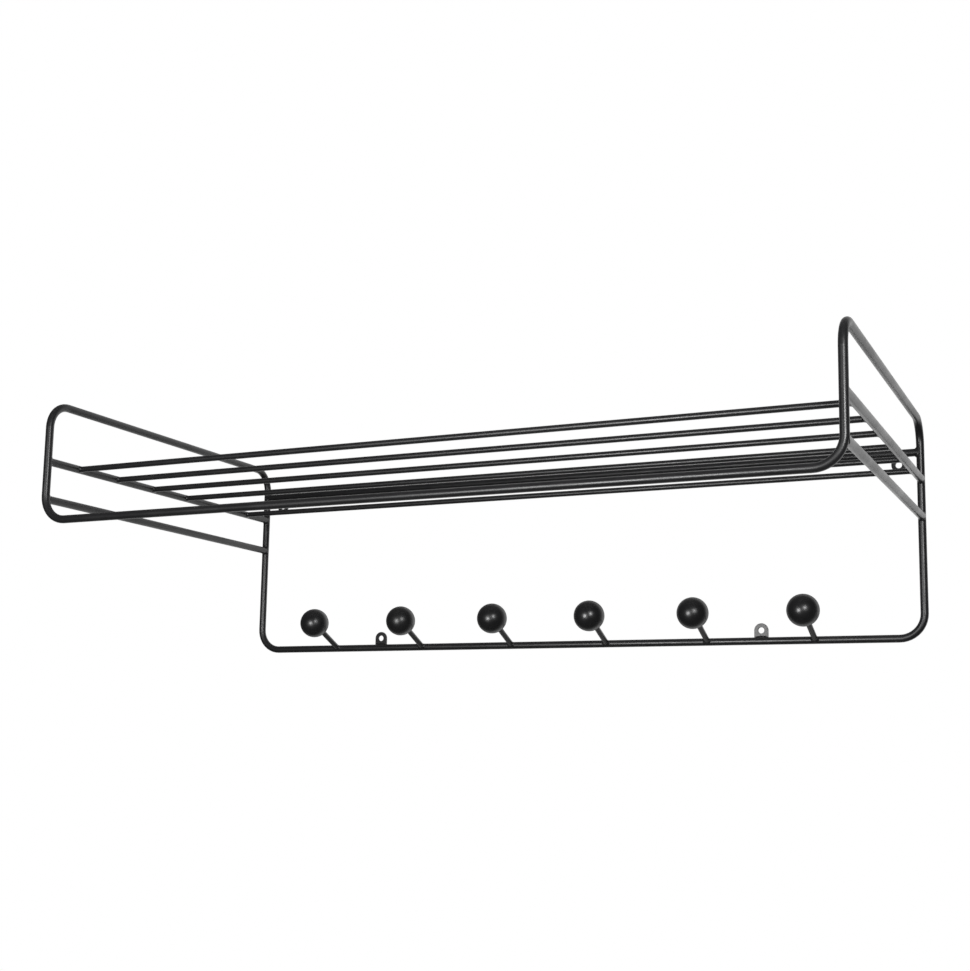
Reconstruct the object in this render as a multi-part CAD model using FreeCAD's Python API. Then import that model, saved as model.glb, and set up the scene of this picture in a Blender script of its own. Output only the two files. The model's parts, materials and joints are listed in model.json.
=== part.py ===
"""Wall-mounted hat and coat rack, welded from round steel rod.

One rod is bent eight times into a closed loop: bottom rail, rear posts, top
side rails, front legs and front rail. Straight rods are welded into it: two
shelf bearers, two lower side rails, a rear rail and the shelf rods. Slanted
pegs with turned balls stand on the bottom rail, and four small plates with a
screw hole hold the rack to the wall.

Millimetres, +Z up, front towards -Y. The wall is the plane y = 0, and the
origin lies on it, midway between the two upper screw holes.
"""
import FreeCAD, Part
import math
import os

Vector = FreeCAD.Vector

# Overall size, measured over the outside of the bent rod.
OVERALL_WIDTH = 800.0
OVERALL_DEPTH = 400.0
OVERALL_HEIGHT = 230.0

# Bent frame rod. The bend radius is that of the rod's centreline.
FRAME_ROD_D = 8.0
BEND_RADIUS = 25.0

# Heights of the rod centrelines above the bottom rail's centreline.
FRONT_RAIL_HEIGHT = 101.5
LOWER_SIDE_RAIL_HEIGHT = 123.5
SHELF_HEIGHT = 162.0
REAR_RAIL_HEIGHT = 190.0

# Straight rods.
SIDE_ROD_D = 8.0
REAR_RAIL_D = 8.0
SHELF_ROD_D = 6.0
SHELF_ROD_COUNT = 6
SHELF_ROD_PITCH = 60.0

# Hooks: straight pegs, each with a ball on its end.
HOOK_COUNT = 6
HOOK_PITCH = 114.5
PEG_D = 6.0
PEG_ANGLE = 25.0
PEG_REACH = 61.0
BALL_D = 33.0
PEG_GRIP = 14.0

# Wall tabs: plates with one round end and a screw hole at its centre.
TAB_WIDTH = 15.0
TAB_THICKNESS = 2.0
TAB_HOLE_OFFSET = 11.5
SCREW_HOLE_D = 6.5
UPPER_TAB_INSET = 22.0

# Planes of the rod centrelines.
SIDE_X = (OVERALL_WIDTH - FRAME_ROD_D) / 2
REAR_Y = -FRAME_ROD_D / 2
FRONT_Y = -OVERALL_DEPTH + FRAME_ROD_D / 2
BOTTOM_Z = TAB_HOLE_OFFSET - REAR_RAIL_HEIGHT
TOP_Z = BOTTOM_Z + OVERALL_HEIGHT - FRAME_ROD_D
FRONT_RAIL_Z = BOTTOM_Z + FRONT_RAIL_HEIGHT
LOWER_SIDE_RAIL_Z = BOTTOM_Z + LOWER_SIDE_RAIL_HEIGHT
SHELF_Z = BOTTOM_Z + SHELF_HEIGHT
REAR_RAIL_Z = BOTTOM_Z + REAR_RAIL_HEIGHT

SIDES = {"left": -1, "right": 1}


def straight_rod(start, end, diameter):
    """A round bar from start to end."""
    run = end - start
    return Part.makeCylinder(diameter / 2, run.Length, start, run)


def bent_loop(corners, radius, diameter):
    """A closed loop of round bar through corners, each rounded by one arc."""
    count = len(corners)
    pieces = []
    arc_ends = []
    for index, corner in enumerate(corners):
        back = (corners[index - 1] - corner).normalize()
        ahead = (corners[(index + 1) % count] - corner).normalize()
        turn = math.pi - back.getAngle(ahead)
        trim = radius * math.tan(turn / 2)
        arc_start = corner + back * trim
        centre_line = (back + ahead).normalize()
        centre = corner + centre_line * (radius / math.cos(turn / 2))
        axis = ahead.cross(back)
        section = Part.Face(Part.Wire(Part.makeCircle(diameter / 2, arc_start, back)))
        pieces.append(section.revolve(centre, axis, math.degrees(turn)))
        arc_ends.append((arc_start, corner + ahead * trim))
    for index in range(count):
        run_start = arc_ends[index][1]
        run_end = arc_ends[(index + 1) % count][0]
        pieces.append(straight_rod(run_start, run_end, diameter))
    return pieces[0].multiFuse(pieces[1:])


def frame_loop():
    """The bent rod, from the bottom rail round both sides to the front rail."""
    corners = [
        Vector(-SIDE_X, REAR_Y, BOTTOM_Z),
        Vector(SIDE_X, REAR_Y, BOTTOM_Z),
        Vector(SIDE_X, REAR_Y, TOP_Z),
        Vector(SIDE_X, FRONT_Y, TOP_Z),
        Vector(SIDE_X, FRONT_Y, FRONT_RAIL_Z),
        Vector(-SIDE_X, FRONT_Y, FRONT_RAIL_Z),
        Vector(-SIDE_X, FRONT_Y, TOP_Z),
        Vector(-SIDE_X, REAR_Y, TOP_Z),
    ]
    return bent_loop(corners, BEND_RADIUS, FRAME_ROD_D)


def side_rod(side, height, frame):
    """A rod from a front leg to its rear post, coped to fit both."""
    x = SIDES[side] * SIDE_X
    start = Vector(x, FRONT_Y, height)
    end = Vector(x, REAR_Y, height)
    return straight_rod(start, end, SIDE_ROD_D).cut(frame)


def rear_rail(frame):
    """The rod between the rear posts, above the shelf."""
    start = Vector(-SIDE_X, REAR_Y, REAR_RAIL_Z)
    end = Vector(SIDE_X, REAR_Y, REAR_RAIL_Z)
    return straight_rod(start, end, REAR_RAIL_D).cut(frame)


def shelf_rod(number, bearers):
    """A shelf rod between the bearers, the first at the front."""
    middle_y = (FRONT_Y + REAR_Y) / 2
    steps_back = number - (SHELF_ROD_COUNT + 1) / 2
    y = middle_y + steps_back * SHELF_ROD_PITCH
    start = Vector(-SIDE_X, y, SHELF_Z)
    end = Vector(SIDE_X, y, SHELF_Z)
    return straight_rod(start, end, SHELF_ROD_D).cut(bearers)


def hook_x(number):
    """The place of a hook along the bottom rail, the first at the left."""
    return (number - (HOOK_COUNT + 1) / 2) * HOOK_PITCH


def hook(number, frame):
    """A peg that stands on the bottom rail, and the ball bored to take it."""
    foot = Vector(hook_x(number), REAR_Y, BOTTOM_Z)
    slant = math.radians(PEG_ANGLE)
    direction = Vector(0, -math.cos(slant), math.sin(slant))
    peg_tip = foot + direction * (PEG_REACH - BALL_D / 2 + PEG_GRIP)
    whole_peg = straight_rod(foot, peg_tip, PEG_D)
    ball = Part.makeSphere(BALL_D / 2, foot + direction * PEG_REACH, direction)
    return whole_peg.cut(frame), ball.cut(whole_peg)


def wall_tab(x, rod_z, up, rod):
    """A plate flush with the wall, its root coped to the back of a rod."""
    root_z = rod_z + up * FRAME_ROD_D / 4
    hole_z = rod_z + up * TAB_HOLE_OFFSET
    half = TAB_WIDTH / 2
    plate = Part.makeBox(
        TAB_WIDTH, TAB_THICKNESS, abs(hole_z - root_z),
        Vector(x - half, -TAB_THICKNESS, min(root_z, hole_z)))
    hole_centre = Vector(x, 0, hole_z)
    to_front = Vector(0, -1, 0)
    round_end = Part.makeCylinder(half, TAB_THICKNESS, hole_centre, to_front)
    hole = Part.makeCylinder(SCREW_HOLE_D / 2, TAB_THICKNESS, hole_centre, to_front)
    return plate.fuse(round_end).removeSplitter().cut(hole).cut(rod)


def build_rack():
    """Every piece of the rack, by name."""
    frame = frame_loop()
    rack = {"frame_loop": frame}
    for side in SIDES:
        rack["shelf_bearer_" + side] = side_rod(side, SHELF_Z, frame)
        rack["lower_side_rail_" + side] = side_rod(side, LOWER_SIDE_RAIL_Z, frame)
    rack["rear_rail"] = rear_rail(frame)

    bearers = rack["shelf_bearer_left"].fuse(rack["shelf_bearer_right"])
    for number in range(1, SHELF_ROD_COUNT + 1):
        rack["shelf_rod_%d" % number] = shelf_rod(number, bearers)

    for number in range(1, HOOK_COUNT + 1):
        peg, ball = hook(number, frame)
        rack["hook_peg_%d" % number] = peg
        rack["hook_ball_%d" % number] = ball

    lower_tab_x = (hook_x(HOOK_COUNT) + hook_x(HOOK_COUNT - 1)) / 2
    upper_tab_x = SIDE_X - UPPER_TAB_INSET
    for side, sign in SIDES.items():
        rack["wall_tab_lower_" + side] = wall_tab(
            sign * lower_tab_x, BOTTOM_Z, 1, frame)
        rack["wall_tab_upper_" + side] = wall_tab(
            sign * upper_tab_x, REAR_RAIL_Z, -1, rack["rear_rail"])
    return rack


os.makedirs("parts", exist_ok=True)
for name, shape in build_rack().items():
    shape.exportStep("parts/%s.step" % name)
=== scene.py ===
import json
import math

import bmesh
import bpy
from bpy.props import FloatProperty, FloatVectorProperty, IntProperty, PointerProperty
from mathutils import Matrix, Vector, noise


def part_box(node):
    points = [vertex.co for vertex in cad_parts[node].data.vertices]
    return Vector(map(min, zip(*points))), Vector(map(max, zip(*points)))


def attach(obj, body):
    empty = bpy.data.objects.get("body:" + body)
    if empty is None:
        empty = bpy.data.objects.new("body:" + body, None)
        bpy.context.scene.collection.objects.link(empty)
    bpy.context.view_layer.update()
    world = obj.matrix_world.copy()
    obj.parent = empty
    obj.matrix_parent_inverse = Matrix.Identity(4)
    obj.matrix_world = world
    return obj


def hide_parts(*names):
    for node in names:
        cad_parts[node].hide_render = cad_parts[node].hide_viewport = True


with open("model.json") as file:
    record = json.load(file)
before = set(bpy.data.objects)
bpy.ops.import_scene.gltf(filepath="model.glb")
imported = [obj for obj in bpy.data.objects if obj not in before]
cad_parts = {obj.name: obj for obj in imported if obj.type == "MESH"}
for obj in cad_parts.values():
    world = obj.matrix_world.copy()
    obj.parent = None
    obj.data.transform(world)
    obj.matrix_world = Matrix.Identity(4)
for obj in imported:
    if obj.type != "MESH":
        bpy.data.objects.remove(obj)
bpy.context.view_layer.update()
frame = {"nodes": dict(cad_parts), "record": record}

bl_info = {
    "name": "Wall Hat and Coat Rack",
    "version": (1, 0, 0),
    "blender": (4, 5, 0),
    "location": "View3D > Sidebar > Coat Rack",
    "description": "Builds a welded steel-rod hat shelf with ball hooks around its CAD frame",
    "category": "Add Mesh",
}

ROOT = "root"
X_AXIS = Vector((1, 0, 0))
Y_AXIS = Vector((0, 1, 0))
Z_AXIS = Vector((0, 0, 1))

# Balls: the peg's hole, in metres, the bare angle at the pole, and steps along the outline.
PEG_GRIP = 0.014
HOLE_ROOM = 0.00005
HOLE_LIP = 0.0005
POLE_ANGLE = 0.02
BALL_STEPS = 56
LIP_STEPS = 5

# Wall tabs: steps along each part of the outline and over its rounded edge.
TAB_ARC_STEPS = 40
TAB_SIDE_STEPS = 8
TAB_ROOT_STEPS = 12
TAB_EDGE_STEPS = 4

# Welds around a joint: points round it, steps across it, and shares of its width or depth.
WELD_POINTS = 64
WELD_STEPS = 6
WELD_HOLLOW = 0.35
WELD_ROOT_SHARE = 0.8
WELD_UNEVEN = 0.25
WELD_RIPPLES = 3
WELD_SEED_STEP = 7.3

# Beads on the tabs: steps along and points round them, then shape as shares of the weld width.
BEAD_STEPS = 40
BEAD_POINTS = 16
BEAD_TAPER = 6
BEAD_END = 0.15
BEAD_SCALE = 1.3
BEAD_PROUD = 0.25
BEAD_RIPPLE_STEP = 0.7
BEAD_SEED_STEP = 5.1
BEAD_SEED_START = 2.2

# Coatings: where the dust and the wear begin and end on a scale of 0 to 1.
DUST_COLOUR = (0.20, 0.19, 0.18)
DUST_SLOPE = (0.25, 1.0)
DUST_CLUMPS = (0.42, 0.70)
DUST_THINNEST = 0.25
PATCH_RANGE = (0.40, 0.66)
RUB_RANGE = (0.60, 0.72)

# Floor, in metres from the middle; its two shades and how they vary.
FLOOR_RADIUS = 6.0
FLOOR_POINTS = 96
FLOOR_FADE_START = 1.2
FLOOR_FADE_END = 5.6
FLOOR_SHADES = ((0.80, 0.80, 0.79), (0.84, 0.84, 0.83))
FLOOR_PATCH_SCALE = 3.0
FLOOR_PATCH_DETAIL = 3.0
FLOOR_ROUGHNESS = 0.9
FLOOR_SPECULAR = 0.2

# Surroundings: light from in front and from behind, and where one turns into the other.
WHITE = (1.0, 1.0, 1.0, 1.0)
STUDIO_RAMP_START = 0.30
STUDIO_RAMP_END = 0.97
STUDIO_FRONT = 0.07
STUDIO_BACK = 1.3

# Lights: places, targets and sizes, in metres from the rack's origin.
FRONT_LIGHT_TARGET = (0, -0.1, -0.1)
LEFT_LIGHT_PLACE = (-0.26, -1.77, -0.30)
LEFT_LIGHT_SIZE = 0.46
RIGHT_LIGHT_PLACE = (0.93, -1.45, 0.17)
RIGHT_LIGHT_SIZE = 0.37
RIGHT_LIGHT_SHARE = 0.7
OVERHEAD_LIGHT_TARGET = (0, -0.2, 0)
OVERHEAD_LIGHT_PLACE = (0.0, -0.4, 2.2)
OVERHEAD_LIGHT_SIZE = 2.4

SENSOR_WIDTH = 36.0
CAMERA_REACH = 100.0


# ---------------------------------------------------------------- sizes read from the frame

def box_centre(node):
    """The middle of a CAD node's box."""
    low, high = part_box(node)
    return (low + high) / 2


def box_size(node):
    """A CAD node's extent along X, Y and Z."""
    low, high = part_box(node)
    return high - low


def nodes_named(start):
    """The CAD nodes whose names begin with start, in order."""
    return sorted(name for name in frame["nodes"] if name.startswith(start))


class RodLines:
    """Where the bent rod's centreline runs, taken from its CAD node's box."""

    def __init__(self, radius):
        low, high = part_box("frame_loop")
        self.radius = radius
        self.side_x = high.x - radius
        self.rear_y = high.y - radius
        self.front_y = low.y + radius
        self.bottom_z = low.z + radius


# ---------------------------------------------------------------- mesh helpers

def bridge(bm, ring, next_ring):
    """Quads between two closed rings of as many vertices."""
    for index in range(len(ring)):
        after = (index + 1) % len(ring)
        bm.faces.new((ring[index], ring[after], next_ring[after], next_ring[index]))


def cap(bm, ring, middle):
    """Closes a ring with a fan around a middle point."""
    tip = bm.verts.new(middle)
    for index, vertex in enumerate(ring):
        bm.faces.new((vertex, ring[(index + 1) % len(ring)], tip))


def add_ring(bm, points):
    """The points as vertices of the mesh."""
    return [bm.verts.new(point) for point in points]


def piece_from(bm, name, material, replaced=()):
    """A finished object from a bmesh, riding on the rack's one body."""
    bmesh.ops.recalc_face_normals(bm, faces=bm.faces)
    mesh = bpy.data.meshes.new(name)
    bm.to_mesh(mesh)
    bm.free()
    mesh.polygons.foreach_set("use_smooth", [True] * len(mesh.polygons))
    mesh.materials.append(material)
    piece = bpy.data.objects.new(name, mesh)
    bpy.context.scene.collection.objects.link(piece)
    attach(piece, ROOT)
    if replaced:
        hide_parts(*replaced)
    return piece


def round_points(centre, side, other, radius, count):
    """Points of a circle around centre, in the plane of two unit vectors."""
    points = []
    for index in range(count):
        angle = math.tau * index / count
        points.append(centre + (side * math.cos(angle) + other * math.sin(angle)) * radius)
    return points


def saddle_depth(angle, radius, mate_radius):
    """How far from a mate's axis a rod's edge meets the mate, at an angle around the rod."""
    reach = radius * math.sin(angle)
    return math.sqrt(max(mate_radius ** 2 - reach ** 2, 0.0))


class Joint:
    """A rod that meets the side of another rod square on."""

    def __init__(self, point, direction, mate_axis, radius, mate_radius):
        self.point = point
        self.out = direction.normalized()
        self.along = mate_axis.normalized()
        self.across = self.along.cross(self.out)
        self.radius = radius
        self.mate_radius = mate_radius

    def side(self, angle):
        """The unit vector that points out of the rod's side at an angle around it."""
        return self.along * math.cos(angle) + self.across * math.sin(angle)


def steel_node(name):
    """Gives a CAD node of coated steel its finish."""
    for slot in frame["nodes"][name].material_slots:
        slot.link = "OBJECT"
        slot.material = powder_coat()


# ---------------------------------------------------------------- node groups and materials

def socket(group, name, kind, in_out, default=None):
    """A named input or output on a node group."""
    made = group.interface.new_socket(name=name, in_out=in_out, socket_type=kind)
    if default is not None:
        made.default_value = default


def maths(tree, operation, first, second, clamp=False):
    """A Math node on two values or sockets; returns its output."""
    node = tree.nodes.new("ShaderNodeMath")
    node.operation = operation
    node.use_clamp = clamp
    for place, value in enumerate((first, second)):
        if isinstance(value, (int, float)):
            node.inputs[place].default_value = value
        else:
            tree.links.new(value, node.inputs[place])
    return node.outputs[0]


def noise_texture(tree, vector, scale, detail, roughness=0.5):
    """A Noise texture's value output; scale is a number or a socket."""
    node = tree.nodes.new("ShaderNodeTexNoise")
    node.inputs["Detail"].default_value = detail
    node.inputs["Roughness"].default_value = roughness
    tree.links.new(vector, node.inputs["Vector"])
    if isinstance(scale, (int, float)):
        node.inputs["Scale"].default_value = scale
    else:
        tree.links.new(scale, node.inputs["Scale"])
    return node.outputs["Fac"]


def remap(tree, value, low, high, to_low=0.0, to_high=1.0):
    """Maps a value smoothly from one range to another, held inside it."""
    node = tree.nodes.new("ShaderNodeMapRange")
    node.interpolation_type = "SMOOTHSTEP"
    tree.links.new(value, node.inputs["Value"])
    for name, number in (("From Min", low), ("From Max", high),
                         ("To Min", to_low), ("To Max", to_high)):
        node.inputs[name].default_value = number
    return node.outputs["Result"]


def new_group(name):
    """An empty shader node group with its input and output nodes."""
    group = bpy.data.node_groups.new(name, "ShaderNodeTree")
    entry = group.nodes.new("NodeGroupInput")
    leave = group.nodes.new("NodeGroupOutput")
    return group, entry, leave


def coating_relief_group():
    """Orange peel and fine grain, as heights in metres."""
    group, entry, leave = new_group("Coating relief")
    socket(group, "Vector", "NodeSocketVector", "INPUT")
    socket(group, "Peel scale", "NodeSocketFloat", "INPUT", 420.0)
    socket(group, "Peel height", "NodeSocketFloat", "INPUT", 0.00002)
    socket(group, "Grain scale", "NodeSocketFloat", "INPUT", 2600.0)
    socket(group, "Grain height", "NodeSocketFloat", "INPUT", 0.000004)
    socket(group, "Height", "NodeSocketFloat", "OUTPUT")
    socket(group, "Peel", "NodeSocketFloat", "OUTPUT")
    peel = noise_texture(group, entry.outputs["Vector"], entry.outputs["Peel scale"], 2.0, 0.4)
    grain = noise_texture(group, entry.outputs["Vector"], entry.outputs["Grain scale"], 3.0, 0.6)
    peel_height = maths(group, "MULTIPLY", peel, entry.outputs["Peel height"])
    grain_height = maths(group, "MULTIPLY", grain, entry.outputs["Grain height"])
    total = maths(group, "ADD", peel_height, grain_height)
    group.links.new(total, leave.inputs["Height"])
    group.links.new(peel, leave.inputs["Peel"])
    return group


def handling_marks_group():
    """Broad dull patches and short fine rubs, where hands and hangers touch the rack."""
    group, entry, leave = new_group("Handling marks")
    socket(group, "Vector", "NodeSocketVector", "INPUT")
    socket(group, "Patch scale", "NodeSocketFloat", "INPUT", 30.0)
    socket(group, "Rub scale", "NodeSocketFloat", "INPUT", 160.0)
    socket(group, "Patches", "NodeSocketFloat", "OUTPUT")
    socket(group, "Rubs", "NodeSocketFloat", "OUTPUT")
    patches = noise_texture(group, entry.outputs["Vector"], entry.outputs["Patch scale"], 4.0)
    rubs = noise_texture(group, entry.outputs["Vector"], entry.outputs["Rub scale"], 6.0, 0.65)
    group.links.new(remap(group, patches, *PATCH_RANGE), leave.inputs["Patches"])
    group.links.new(remap(group, rubs, *RUB_RANGE), leave.inputs["Rubs"])
    return group


def settled_dust_group():
    """A mask of faint dust on the surfaces that face up."""
    group, entry, leave = new_group("Settled dust")
    socket(group, "Vector", "NodeSocketVector", "INPUT")
    socket(group, "Fleck scale", "NodeSocketFloat", "INPUT", 900.0)
    socket(group, "Amount", "NodeSocketFloat", "INPUT", 0.1)
    socket(group, "Dust", "NodeSocketFloat", "OUTPUT")
    geometry = group.nodes.new("ShaderNodeNewGeometry")
    split = group.nodes.new("ShaderNodeSeparateXYZ")
    group.links.new(geometry.outputs["Normal"], split.inputs[0])
    facing_up = remap(group, split.outputs["Z"], *DUST_SLOPE)
    flecks = noise_texture(group, entry.outputs["Vector"], entry.outputs["Fleck scale"], 5.0, 0.7)
    clumps = remap(group, flecks, *DUST_CLUMPS, DUST_THINNEST, 1.0)
    mask = maths(group, "MULTIPLY", facing_up, clumps)
    amount = maths(group, "MULTIPLY", mask, entry.outputs["Amount"], clamp=True)
    group.links.new(amount, leave.inputs["Dust"])
    return group


def shared_group(name, maker):
    """The node group of that name, made the first time it is asked for."""
    return bpy.data.node_groups.get(name) or maker()


def place_group(tree, name, maker, vector, values):
    """A node group in a material, with its own values."""
    node = tree.nodes.new("ShaderNodeGroup")
    node.node_tree = shared_group(name, maker)
    tree.links.new(vector, node.inputs["Vector"])
    for key, value in values.items():
        node.inputs[key].default_value = value
    return node


def mix_colour(tree, mask, first, second):
    """A colour between two, by a mask; each is a colour or a socket."""
    node = tree.nodes.new("ShaderNodeMix")
    node.data_type = "RGBA"
    tree.links.new(mask, node.inputs["Factor"])
    for name, value in (("A", first), ("B", second)):
        target = next(s for s in node.inputs if s.name == name and s.type == "RGBA")
        if hasattr(value, "is_linked"):
            tree.links.new(value, target)
        else:
            target.default_value = (*value, 1.0)
    return next(s for s in node.outputs if s.type == "RGBA")


def coated_material(name, look):
    """A dark coating with its relief, its uneven sheen and a trace of dust.

    A look with a haze is also duller where it is seen edge on.
    """
    found = bpy.data.materials.get(name)
    if found:
        return found
    material = bpy.data.materials.new(name)
    material.use_nodes = True
    tree = material.node_tree
    tree.nodes.clear()
    leave = tree.nodes.new("ShaderNodeOutputMaterial")
    surface = tree.nodes.new("ShaderNodeBsdfPrincipled")
    place = tree.nodes.new("ShaderNodeTexCoord").outputs["Object"]
    tree.links.new(surface.outputs["BSDF"], leave.inputs["Surface"])

    relief = place_group(tree, "Coating relief", coating_relief_group, place, look["relief"])
    marks = place_group(tree, "Handling marks", handling_marks_group, place, look["marks"])
    dust = place_group(tree, "Settled dust", settled_dust_group, place, look["dust"])

    mottled = mix_colour(tree, relief.outputs["Peel"], look["colour"], look["colour_light"])
    worn = mix_colour(tree, marks.outputs["Rubs"], mottled, look["colour_rubbed"])
    dusty = mix_colour(tree, dust.outputs["Dust"], worn, DUST_COLOUR)
    tree.links.new(dusty, surface.inputs["Base Color"])

    patches = maths(tree, "MULTIPLY", marks.outputs["Patches"], look["patch_dullness"])
    rubs = maths(tree, "MULTIPLY", marks.outputs["Rubs"], look["rub_polish"])
    rough = maths(tree, "ADD", patches, look["roughness"])
    rough = maths(tree, "SUBTRACT", rough, rubs)
    rough = maths(tree, "ADD", rough, dust.outputs["Dust"], clamp=True)
    if "haze" in look:
        glance = tree.nodes.new("ShaderNodeLayerWeight").outputs["Facing"]
        haze = remap(tree, glance, look["haze_start"], 1.0, to_high=look["haze"])
        rough = maths(tree, "ADD", rough, haze, clamp=True)
    tree.links.new(rough, surface.inputs["Roughness"])

    bump = tree.nodes.new("ShaderNodeBump")
    bump.inputs["Distance"].default_value = 1.0
    bump.inputs["Strength"].default_value = look["bump"]
    tree.links.new(relief.outputs["Height"], bump.inputs["Height"])
    tree.links.new(bump.outputs["Normal"], surface.inputs["Normal"])

    surface.inputs["IOR"].default_value = look["ior"]
    return material


def shade(colour, factor):
    """A colour made lighter by a factor."""
    return tuple(factor * part for part in colour)


def powder_coat():
    """Satin black powder coat on the steel rods and tabs."""
    finish = bpy.context.scene.rack_finish
    return coated_material("satin black powder coat", {
        "colour": tuple(finish.coat_colour),
        "colour_light": shade(finish.coat_colour, 1.7),
        "colour_rubbed": shade(finish.coat_colour, 2.4),
        "roughness": finish.coat_roughness,
        "patch_dullness": 0.07,
        "rub_polish": 0.05,
        "relief": {"Peel scale": 520.0, "Peel height": 0.000009,
                   "Grain scale": 3600.0, "Grain height": 0.0000018},
        "marks": {"Patch scale": 24.0, "Rub scale": 220.0},
        "dust": {"Fleck scale": 1400.0, "Amount": 0.05},
        "bump": 0.8,
        "ior": 1.5,
    })


def ball_lacquer():
    """Satin black lacquer on the turned balls."""
    finish = bpy.context.scene.rack_finish
    return coated_material("satin black ball lacquer", {
        "colour": tuple(finish.lacquer_colour),
        "colour_light": shade(finish.lacquer_colour, 1.5),
        "colour_rubbed": shade(finish.lacquer_colour, 2.0),
        "roughness": finish.lacquer_roughness,
        "patch_dullness": 0.06,
        "rub_polish": 0.04,
        "relief": {"Peel scale": 300.0, "Peel height": 0.0000025,
                   "Grain scale": 2400.0, "Grain height": 0.000001},
        "marks": {"Patch scale": 60.0, "Rub scale": 300.0},
        "dust": {"Fleck scale": 1200.0, "Amount": 0.05},
        "haze_start": 0.50,
        "haze": 0.36,
        "bump": 0.6,
        "ior": 1.5,
    })


# ---------------------------------------------------------------- sizes and colours a user sets

class RackSizes(bpy.types.PropertyGroup):
    """Sizes of the pieces that the frame's boxes don't give."""

    rod_diameter: FloatProperty(
        name="Bent rod diameter", description="Thickness of the rod that is bent into the frame",
        default=0.008, unit="LENGTH")
    ball_points: IntProperty(
        name="Points around a ball", description="How finely the balls are turned",
        default=96, min=24, max=192)
    weld_width: FloatProperty(
        name="Weld width", description="How far a weld reaches along each rod it joins",
        default=0.0016, unit="LENGTH")
    edge_round: FloatProperty(
        name="Edge rounding", description="How much the coating rounds a tab's cut edges",
        default=0.0004, unit="LENGTH")


class RackFinish(bpy.types.PropertyGroup):
    """Colours and sheen of the two coatings."""

    coat_colour: FloatVectorProperty(
        name="Powder coat colour", description="Colour of the steel's coating",
        subtype="COLOR", size=3, default=(0.0050, 0.0050, 0.0054), min=0, max=1)
    coat_roughness: FloatProperty(
        name="Powder coat roughness", description="How dull the steel's coating is",
        default=0.34, min=0, max=1)
    lacquer_colour: FloatVectorProperty(
        name="Ball lacquer colour", description="Colour of the balls",
        subtype="COLOR", size=3, default=(0.0045, 0.0045, 0.0048), min=0, max=1)
    lacquer_roughness: FloatProperty(
        name="Ball lacquer roughness", description="How dull the balls are",
        default=0.30, min=0, max=1)


class RackStage(bpy.types.PropertyGroup):
    """Camera, lights and floor."""

    camera_place: FloatVectorProperty(
        name="Camera place", description="Where the camera stands, from the rack's origin",
        subtype="TRANSLATION", size=3, default=(0.6060, -1.4835, -0.2981))
    camera_heading: FloatProperty(
        name="Camera heading", description="Turn of the view from straight at the wall",
        subtype="ANGLE", default=math.radians(25.30))
    camera_pitch: FloatProperty(
        name="Camera pitch", description="Upward tilt of the view",
        subtype="ANGLE", default=math.radians(8.275))
    camera_roll: FloatProperty(
        name="Camera roll", description="Turn of the picture about the view's axis",
        subtype="ANGLE", default=math.radians(0.968))
    focal_length: FloatProperty(
        name="Focal length", description="Lens on a sensor 36 mm wide, in millimetres",
        default=52.95)
    shift_up: FloatProperty(
        name="Vertical shift", description="How far the lens is shifted up, in picture widths",
        default=0.06)
    front_light_power: FloatProperty(
        name="Front light power",
        description="Power of the left soft light, in watts; the right one has a share of it",
        default=22.0, min=0)
    overhead_light_power: FloatProperty(
        name="Overhead light power", description="Power of the wide light above, in watts",
        default=85.0, min=0)
    floor_depth: FloatProperty(
        name="Floor depth", description="Height of the rack's origin above the floor",
        default=1.7, unit="LENGTH")


# ---------------------------------------------------------------- operators, one for each kind of piece

class RACK_OT_bent_frame(bpy.types.Operator):
    """Coat the rod that is bent eight times into the rack's closed frame"""

    bl_idname = "rack.bent_frame"
    bl_label = "Bent Frame"

    def execute(self, context):
        steel_node("frame_loop")
        return {"FINISHED"}


def side_joints(node, path):
    """The front and rear joints of a side rod."""
    middle = box_centre(node)
    radius = box_size(node).x / 2
    front = Vector((middle.x, path.front_y, middle.z))
    rear = Vector((middle.x, path.rear_y, middle.z))
    return (Joint(front, Y_AXIS, Z_AXIS, radius, path.radius),
            Joint(rear, -Y_AXIS, Z_AXIS, radius, path.radius))


def cross_joints(node, path, mate_axis, mate_radius):
    """The left and right joints of a rod that runs across the rack."""
    middle = box_centre(node)
    radius = box_size(node).z / 2
    left = Vector((-path.side_x, middle.y, middle.z))
    right = Vector((path.side_x, middle.y, middle.z))
    return (Joint(left, X_AXIS, mate_axis, radius, mate_radius),
            Joint(right, -X_AXIS, mate_axis, radius, mate_radius))


def peg_joint(number, path):
    """The joint of a peg on the bottom rail; it points at the ball."""
    ball = box_centre("hook_ball_%d" % number)
    foot = Vector((box_centre("hook_peg_%d" % number).x, path.rear_y, path.bottom_z))
    radius = box_size("hook_peg_%d" % number).x / 2
    return Joint(foot, ball - foot, X_AXIS, radius, path.radius)


def side_rod_nodes():
    """The rods along the two sides."""
    return nodes_named("shelf_bearer_") + nodes_named("lower_side_rail_")


def bearer_radius():
    """Half the thickness of the rods that carry the shelf."""
    return box_size("shelf_bearer_left").x / 2


class RACK_OT_side_rods(bpy.types.Operator):
    """Coat the shelf bearers and the lower side rails"""

    bl_idname = "rack.side_rods"
    bl_label = "Side Rods"

    def execute(self, context):
        for node in side_rod_nodes():
            steel_node(node)
        return {"FINISHED"}


class RACK_OT_cross_rods(bpy.types.Operator):
    """Coat the rear rail and the shelf rods"""

    bl_idname = "rack.cross_rods"
    bl_label = "Rear Rail and Shelf Rods"

    def execute(self, context):
        for node in ["rear_rail"] + nodes_named("shelf_rod_"):
            steel_node(node)
        return {"FINISHED"}


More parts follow.
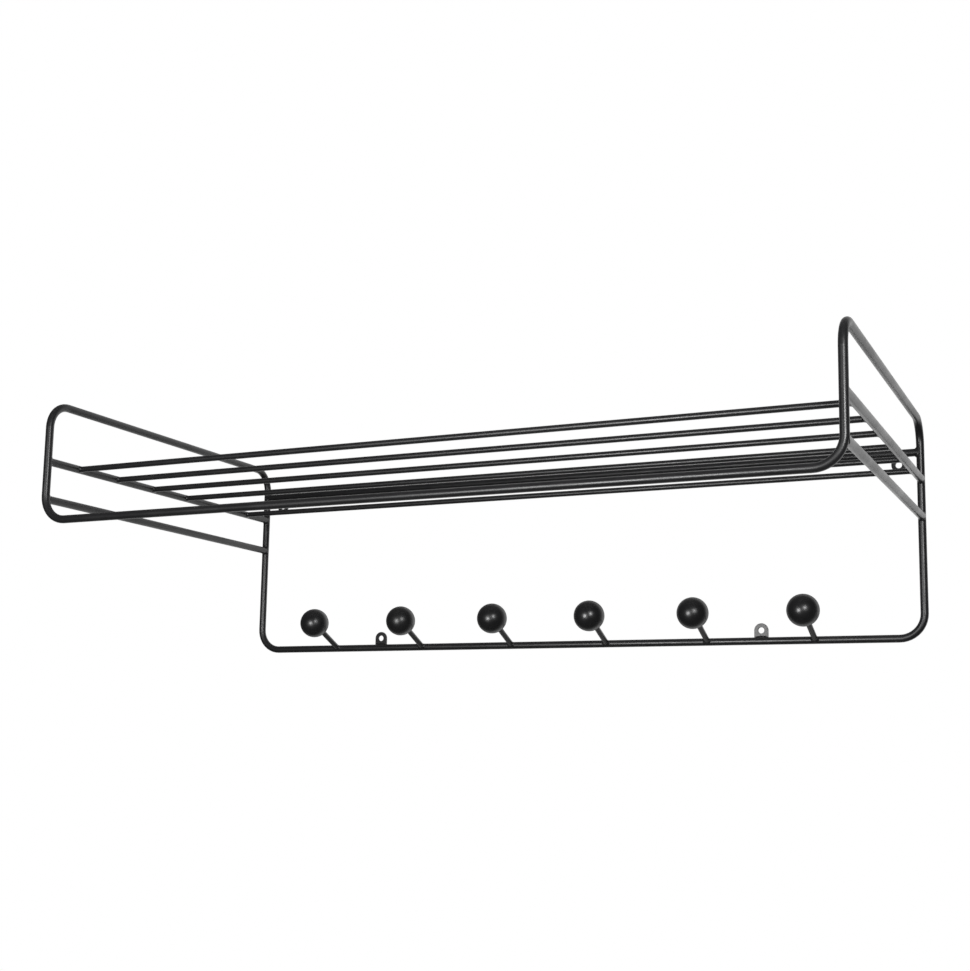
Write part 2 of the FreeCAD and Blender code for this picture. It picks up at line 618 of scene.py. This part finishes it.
class RACK_OT_hooks(bpy.types.Operator):
    """Coat the slanted pegs and build the turned balls on them"""

    bl_idname = "rack.hooks"
    bl_label = "Hooks"

    def execute(self, context):
        sizes = context.scene.rack_sizes
        path = RodLines(sizes.rod_diameter / 2)
        for number in range(1, len(nodes_named("hook_peg_")) + 1):
            steel_node("hook_peg_%d" % number)
            centre = box_centre("hook_ball_%d" % number)
            ball_radius = box_size("hook_ball_%d" % number).y / 2
            self.ball(number, peg_joint(number, path), centre, ball_radius, sizes.ball_points)
        return {"FINISHED"}

    def ball(self, number, joint, centre, radius, ball_points):
        """A ball turned about the peg's axis, with a bored hole and a small rounded mouth."""
        hole = joint.radius + HOLE_ROOM
        mouth = math.asin((hole + HOLE_LIP) / radius)
        profile = [(radius * math.sin(angle), -radius * math.cos(angle))
                   for angle in self.steps(mouth, math.pi - POLE_ANGLE, BALL_STEPS)]
        mouth_height = -radius * math.cos(mouth)
        lip_points = []
        for angle in self.steps(0.0, math.pi / 2, LIP_STEPS):
            lip_points.append((hole + HOLE_LIP * (1 - math.sin(angle)),
                               mouth_height + HOLE_LIP * (1 - math.cos(angle))))
        floor = -radius + PEG_GRIP
        bore = [(hole, floor), (hole, (mouth_height + HOLE_LIP + floor) / 2)]
        outline = bore + list(reversed(lip_points[1:])) + profile
        bm = bmesh.new()
        previous = None
        for across, height in outline:
            middle = centre + joint.out * height
            points = round_points(middle, joint.along, joint.across, across, ball_points)
            ring = add_ring(bm, points)
            if previous:
                bridge(bm, previous, ring)
            else:
                cap(bm, ring, centre + joint.out * floor)
            previous = ring
        cap(bm, previous, centre + joint.out * radius)
        name = "hook_ball_%d" % number
        piece_from(bm, name + "_turned", ball_lacquer(), [name])

    def steps(self, start, end, count):
        """Evenly spaced numbers from start to end."""
        return [start + (end - start) * step / count for step in range(count + 1)]


class RACK_OT_wall_tabs(bpy.types.Operator):
    """Build the four plates that the wall screws go through"""

    bl_idname = "rack.wall_tabs"
    bl_label = "Wall Tabs"

    def execute(self, context):
        sizes = context.scene.rack_sizes
        for node in nodes_named("wall_tab_"):
            up = 1 if "lower" in node else -1
            self.tab(node, up, sizes.edge_round)
        return {"FINISHED"}

    def tab(self, node, up, edge):
        """One plate with a round end and a screw hole, its edges softened by the coating."""
        low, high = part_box(node)
        half = (high.x - low.x) / 2
        tip_z = high.z if up > 0 else low.z
        root_z = low.z if up > 0 else high.z
        middle = Vector(((low.x + high.x) / 2, 0, tip_z - up * half))
        reach = abs(root_z - middle.z)
        hole = frame["record"]["mounts"][0]["dims"]["hole_r_mm"] / 1000
        profile = self.corner(edge, low.y, high.y)
        bm = bmesh.new()
        first = previous = None
        for outer, normal in self.outline(half, reach):
            outward = outer.normalized()
            section = [(outer - normal * inset, depth) for inset, depth in profile]
            section += [(outward * (hole + inset), depth) for inset, depth in reversed(profile)]
            points = [middle + Vector((flat.x, depth, flat.y * up)) for flat, depth in section]
            ring = add_ring(bm, points)
            if previous:
                bridge(bm, previous, ring)
            previous = ring
            first = first or ring
        bridge(bm, previous, first)
        piece = piece_from(bm, node + "_plate", powder_coat(), [node])
        piece.modifiers.new("even shading", "WEIGHTED_NORMAL").keep_sharp = True

    def outline(self, half, reach):
        """Points round the plate from the hole's centre, each with its outward normal."""
        points = []
        for step in range(TAB_ARC_STEPS + 1):
            angle = math.pi * step / TAB_ARC_STEPS
            normal = Vector((math.cos(angle), math.sin(angle)))
            points.append((normal * half, normal))
        for step in range(1, TAB_SIDE_STEPS + 1):
            points.append((Vector((-half, -reach * step / TAB_SIDE_STEPS)), Vector((-1, 0))))
        for step in range(1, TAB_ROOT_STEPS):
            x = half * (2 * step / TAB_ROOT_STEPS - 1)
            points.append((Vector((x, -reach)), Vector((0, -1))))
        for step in range(TAB_SIDE_STEPS, 0, -1):
            points.append((Vector((half, -reach * step / TAB_SIDE_STEPS)), Vector((1, 0))))
        return points

    def corner(self, edge, front, back):
        """The plate's edge from its front face to its back face, as inset and depth."""
        section = []
        for step in range(TAB_EDGE_STEPS + 1):
            angle = math.pi / 2 * step / TAB_EDGE_STEPS
            section.append((edge * (1 - math.sin(angle)), front + edge * (1 - math.cos(angle))))
        for step in range(TAB_EDGE_STEPS + 1):
            angle = math.pi / 2 * step / TAB_EDGE_STEPS
            section.append((edge * (1 - math.cos(angle)), back - edge * (1 - math.sin(angle))))
        return section


class RACK_OT_welds(bpy.types.Operator):
    """Build the coated weld around every joint"""

    bl_idname = "rack.welds"
    bl_label = "Welds"

    def execute(self, context):
        sizes = context.scene.rack_sizes
        path = RodLines(sizes.rod_diameter / 2)
        side = [joint for node in side_rod_nodes() for joint in side_joints(node, path)]
        rear = cross_joints("rear_rail", path, Z_AXIS, path.radius)
        shelf = [joint for node in nodes_named("shelf_rod_")
                 for joint in cross_joints(node, path, Y_AXIS, bearer_radius())]
        pegs = [peg_joint(number, path)
                for number in range(1, len(nodes_named("hook_peg_")) + 1)]
        for name, joints in (("side_rod_welds", side), ("rear_rail_welds", rear),
                             ("shelf_rod_welds", shelf), ("peg_welds", pegs)):
            bm = bmesh.new()
            for number, joint in enumerate(joints):
                self.collar(bm, joint, sizes, number)
            piece_from(bm, name, powder_coat())
        bm = bmesh.new()
        for number, node in enumerate(nodes_named("wall_tab_")):
            self.tab_bead(bm, node, path, sizes, number)
        piece_from(bm, "tab_welds", powder_coat())
        return {"FINISHED"}

    def collar(self, bm, joint, sizes, seed):
        """A closed ring of weld between a rod's side and its mate's side."""
        first = previous = None
        for index in range(WELD_POINTS):
            angle = math.tau * index / WELD_POINTS
            ripple = noise.noise(Vector((WELD_RIPPLES * math.cos(angle),
                                         WELD_RIPPLES * math.sin(angle),
                                         WELD_SEED_STEP * seed)))
            width = sizes.weld_width * (1 + WELD_UNEVEN * ripple)
            ring = add_ring(bm, self.collar_section(joint, angle, width))
            if previous:
                bridge(bm, previous, ring)
            previous = ring
            first = first or ring
        bridge(bm, previous, first)

    def collar_section(self, joint, angle, width):
        """The weld's section at one angle: its hollow face, then a point inside the metal."""
        side = joint.side(angle)
        depth = saddle_depth(angle, joint.radius, joint.mate_radius)
        root = joint.point + side * joint.radius + joint.out * depth
        rod_toe = root + joint.out * width
        mate_toe = self.on_mate(joint, angle, width)
        hollow = ((rod_toe + mate_toe) / 2).lerp(root, WELD_HOLLOW)
        points = []
        for step in range(WELD_STEPS + 1):
            share = step / WELD_STEPS
            points.append(rod_toe.lerp(hollow, share).lerp(hollow.lerp(mate_toe, share), share))
        points.append(joint.point + side * (joint.radius * WELD_ROOT_SHARE)
                      + joint.out * (depth * WELD_ROOT_SHARE))
        return points

    def on_mate(self, joint, angle, width):
        """Where the weld ends on the mate's surface."""
        reach = joint.radius * math.sin(angle) / joint.mate_radius
        around = math.asin(max(-1.0, min(1.0, reach)))
        around += width / joint.mate_radius * math.sin(angle)
        along = (joint.radius + width) * math.cos(angle)
        return (joint.point + joint.along * along
                + joint.across * (joint.mate_radius * math.sin(around))
                + joint.out * (joint.mate_radius * math.cos(around)))

    def tab_bead(self, bm, node, path, sizes, seed):
        """A bead along the line where a tab's front face meets its rod."""
        low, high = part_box(node)
        up = 1 if "lower" in node else -1
        rod_z = path.bottom_z if up > 0 else box_centre("rear_rail").z
        rise = math.sqrt(path.radius ** 2 - (low.y - path.rear_y) ** 2)
        centre = Vector(((low.x + high.x) / 2, low.y, rod_z + up * rise))
        half = (high.x - low.x) / 2 - sizes.edge_round
        previous = None
        for step in range(BEAD_STEPS + 1):
            share = 2 * step / BEAD_STEPS - 1
            taper = max(1 - abs(share) ** BEAD_TAPER, BEAD_END)
            ripple = noise.noise(Vector((step * BEAD_RIPPLE_STEP, BEAD_SEED_STEP * seed,
                                         BEAD_SEED_START)))
            radius = sizes.weld_width * BEAD_SCALE * taper * (1 + WELD_UNEVEN * ripple)
            middle = centre + X_AXIS * (half * share) - Y_AXIS * (radius * BEAD_PROUD)
            ring = add_ring(bm, round_points(middle, Y_AXIS, Z_AXIS, radius, BEAD_POINTS))
            if previous:
                bridge(bm, previous, ring)
            else:
                cap(bm, ring, middle)
            previous = ring
        cap(bm, previous, middle)


class RACK_OT_stage(bpy.types.Operator):
    """Build the floor, the light and the camera"""

    bl_idname = "rack.stage"
    bl_label = "Stage"

    def execute(self, context):
        stage = context.scene.rack_stage
        self.floor(stage)
        self.surroundings(context.scene)
        self.lights(stage)
        self.camera(context.scene, stage)
        context.scene.view_settings.view_transform = "Standard"
        return {"FINISHED"}

    def floor(self, stage):
        """A plain pale floor that fades into the white surroundings far out."""
        bm = bmesh.new()
        ring = add_ring(bm, round_points(
            Vector((0, 0, -stage.floor_depth)), X_AXIS, Y_AXIS, FLOOR_RADIUS, FLOOR_POINTS))
        bm.faces.new(ring)
        mesh = bpy.data.meshes.new("floor")
        bm.to_mesh(mesh)
        bm.free()
        floor = bpy.data.objects.new("floor", mesh)
        bpy.context.scene.collection.objects.link(floor)
        mesh.materials.append(self.floor_material())
        floor.visible_glossy = False

    def floor_material(self):
        """Pale and matt below the rack, clear at its far edge."""
        material = bpy.data.materials.new("pale floor")
        material.use_nodes = True
        tree = material.node_tree
        surface = tree.nodes["Principled BSDF"]
        surface.inputs["Roughness"].default_value = FLOOR_ROUGHNESS
        surface.inputs["Specular IOR Level"].default_value = FLOOR_SPECULAR
        place = tree.nodes.new("ShaderNodeTexCoord").outputs["Object"]
        length = tree.nodes.new("ShaderNodeVectorMath")
        length.operation = "LENGTH"
        tree.links.new(place, length.inputs[0])
        solid = remap(tree, length.outputs["Value"], FLOOR_FADE_START, FLOOR_FADE_END, 1.0, 0.0)
        soft = noise_texture(tree, place, FLOOR_PATCH_SCALE, FLOOR_PATCH_DETAIL)
        near = mix_colour(tree, soft, *FLOOR_SHADES)
        tree.links.new(near, surface.inputs["Base Color"])
        tree.links.new(solid, surface.inputs["Alpha"])
        return material

    def surroundings(self, scene):
        """White where seen directly; as light, dim in front of the rack and bright behind it."""
        world = bpy.data.worlds.new("studio")
        scene.world = world
        world.use_nodes = True
        tree = world.node_tree
        tree.nodes.clear()
        leave = tree.nodes.new("ShaderNodeOutputWorld")
        direction = tree.nodes.new("ShaderNodeTexCoord").outputs["Generated"]
        split = tree.nodes.new("ShaderNodeSeparateXYZ")
        tree.links.new(direction, split.inputs[0])
        strength = remap(tree, split.outputs["Y"], STUDIO_RAMP_START, STUDIO_RAMP_END,
                         STUDIO_FRONT, STUDIO_BACK)
        glow = tree.nodes.new("ShaderNodeBackground")
        tree.links.new(strength, glow.inputs["Strength"])
        glow.inputs["Color"].default_value = WHITE
        seen = tree.nodes.new("ShaderNodeBackground")
        seen.inputs["Color"].default_value = WHITE
        rays = tree.nodes.new("ShaderNodeLightPath")
        mix = tree.nodes.new("ShaderNodeMixShader")
        tree.links.new(rays.outputs["Is Camera Ray"], mix.inputs["Fac"])
        tree.links.new(glow.outputs["Background"], mix.inputs[1])
        tree.links.new(seen.outputs["Background"], mix.inputs[2])
        tree.links.new(mix.outputs["Shader"], leave.inputs["Surface"])

    def lights(self, stage):
        """Two small soft lights in front of the rack and a wide one overhead."""
        power = stage.front_light_power
        self.softbox("front light left", LEFT_LIGHT_PLACE, FRONT_LIGHT_TARGET,
                     LEFT_LIGHT_SIZE, power)
        self.softbox("front light right", RIGHT_LIGHT_PLACE, FRONT_LIGHT_TARGET,
                     RIGHT_LIGHT_SIZE, power * RIGHT_LIGHT_SHARE)
        overhead = self.softbox("overhead light", OVERHEAD_LIGHT_PLACE, OVERHEAD_LIGHT_TARGET,
                                OVERHEAD_LIGHT_SIZE, stage.overhead_light_power)
        overhead.visible_glossy = False

    def softbox(self, name, place, target, size, power):
        """A square area light that faces a target."""
        light = bpy.data.lights.new(name, "AREA")
        light.energy = power
        light.size = size
        holder = bpy.data.objects.new(name, light)
        holder.location = place
        aim = Vector(target) - Vector(place)
        holder.rotation_euler = aim.to_track_quat("-Z", "Y").to_euler()
        bpy.context.scene.collection.objects.link(holder)
        return holder

    def camera(self, scene, stage):
        """The camera, a little below the rack and to its right, looking up."""
        data = bpy.data.cameras.new("camera")
        data.sensor_width = SENSOR_WIDTH
        data.lens = stage.focal_length
        data.shift_y = stage.shift_up
        data.clip_end = CAMERA_REACH
        camera = bpy.data.objects.new("camera", data)
        turn = (Matrix.Rotation(stage.camera_heading, 4, "Z")
                @ Matrix.Rotation(math.pi / 2 + stage.camera_pitch, 4, "X")
                @ Matrix.Rotation(stage.camera_roll, 4, "Z"))
        camera.matrix_world = Matrix.Translation(stage.camera_place) @ turn
        scene.collection.objects.link(camera)
        scene.camera = camera


class RACK_PT_panel(bpy.types.Panel):
    """The rack's operators and settings"""

    bl_label = "Hat and Coat Rack"
    bl_idname = "RACK_PT_panel"
    bl_space_type = "VIEW_3D"
    bl_region_type = "UI"
    bl_category = "Coat Rack"

    def draw(self, context):
        for operator in OPERATORS:
            self.layout.operator(operator.bl_idname)
        for group in (context.scene.rack_sizes, context.scene.rack_finish,
                      context.scene.rack_stage):
            for name in group.bl_rna.properties.keys():
                if name not in ("rna_type", "name"):
                    self.layout.prop(group, name)


OPERATORS = (RACK_OT_bent_frame, RACK_OT_side_rods, RACK_OT_cross_rods, RACK_OT_hooks,
             RACK_OT_wall_tabs, RACK_OT_welds, RACK_OT_stage)
SETTINGS = {"rack_sizes": RackSizes, "rack_finish": RackFinish, "rack_stage": RackStage}


def register():
    for group in SETTINGS.values():
        bpy.utils.register_class(group)
    for name, group in SETTINGS.items():
        setattr(bpy.types.Scene, name, PointerProperty(type=group))
    for operator in OPERATORS:
        bpy.utils.register_class(operator)
    bpy.utils.register_class(RACK_PT_panel)


def unregister():
    bpy.utils.unregister_class(RACK_PT_panel)
    for operator in reversed(OPERATORS):
        bpy.utils.unregister_class(operator)
    for name, group in SETTINGS.items():
        delattr(bpy.types.Scene, name)
        bpy.utils.unregister_class(group)


def main():
    register()
    bpy.ops.rack.bent_frame()
    bpy.ops.rack.side_rods()
    bpy.ops.rack.cross_rods()
    bpy.ops.rack.hooks()
    bpy.ops.rack.wall_tabs()
    bpy.ops.rack.welds()
    bpy.ops.rack.stage()


if __name__ == "__main__":
    main()
